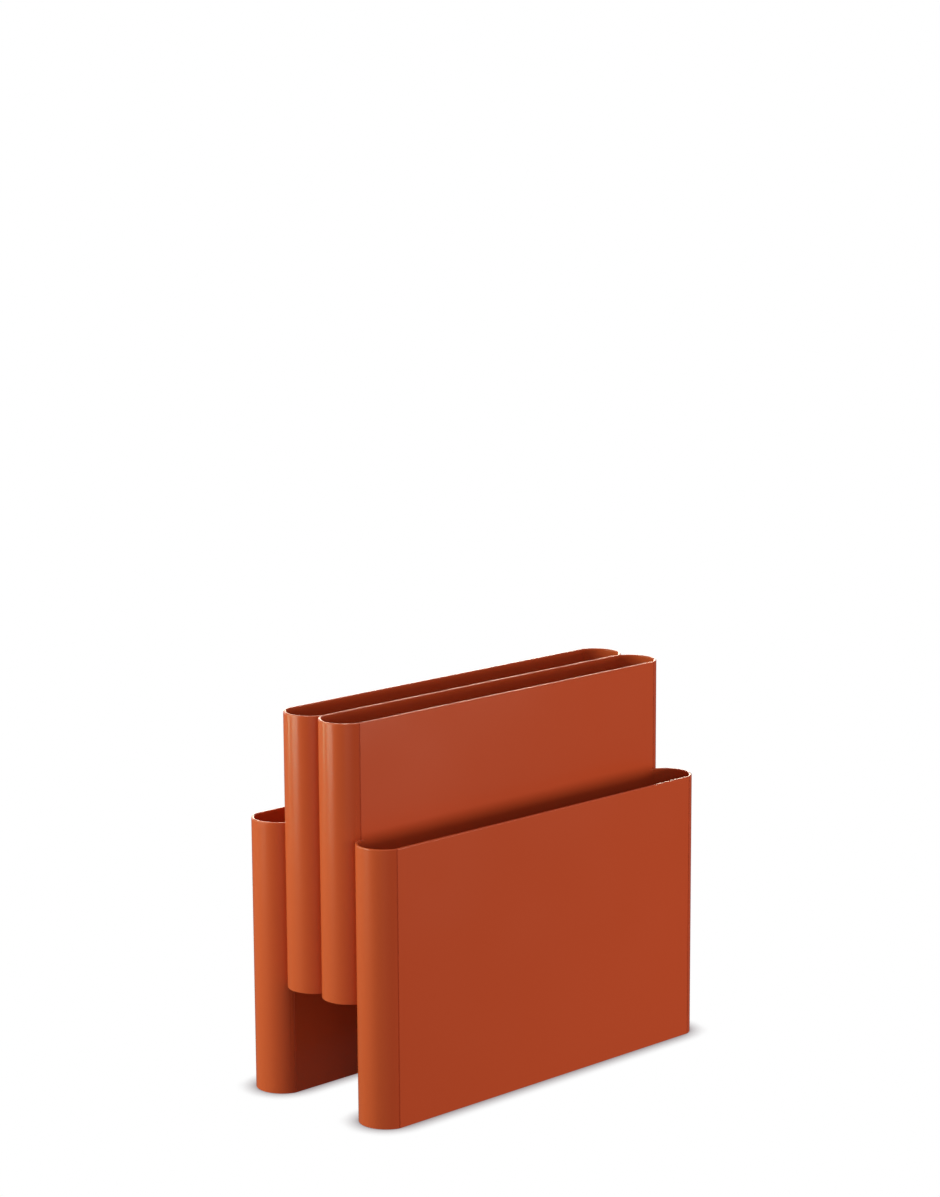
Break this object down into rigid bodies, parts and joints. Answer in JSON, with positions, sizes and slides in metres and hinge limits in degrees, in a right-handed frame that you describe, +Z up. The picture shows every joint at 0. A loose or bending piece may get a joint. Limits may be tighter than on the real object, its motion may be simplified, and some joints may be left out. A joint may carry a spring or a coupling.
{
  "type": "magazine file holder",
  "caption": "Upright magazine rack with flat round-ended pockets: two low outer pockets stand on the floor and carry a raised inner pair.",
  "frame": {"origin": "on the floor, at the middle of the footprint", "axes": "+X along the pockets to the right, +Y to the back, +Z up; the front pocket faces -Y"},
  "size_m": [0.395, 0.1774, 0.34],
  "materials": {
    "shell_plastic": "satin moulded ABS, terracotta",
    "floor_plastic": "as moulded ABS, terracotta"
  },
  "bodies": {
    "root": {"back_wall": "shell_plastic", "rear_divider": "shell_plastic", "centre_divider": "shell_plastic", "front_divider": "shell_plastic", "front_wall": "shell_plastic", "rear_left_end": "shell_plastic", "rear_right_end": "shell_plastic", "raised_rear_left_end": "shell_plastic", "raised_rear_right_end": "shell_plastic", "raised_front_left_end": "shell_plastic", "raised_front_right_end": "shell_plastic", "front_left_end": "shell_plastic", "front_right_end": "shell_plastic", "rear_floor": "floor_plastic", "raised_rear_floor": "floor_plastic", "raised_front_floor": "floor_plastic", "front_floor": "floor_plastic"}
  },
  "joints": []
}
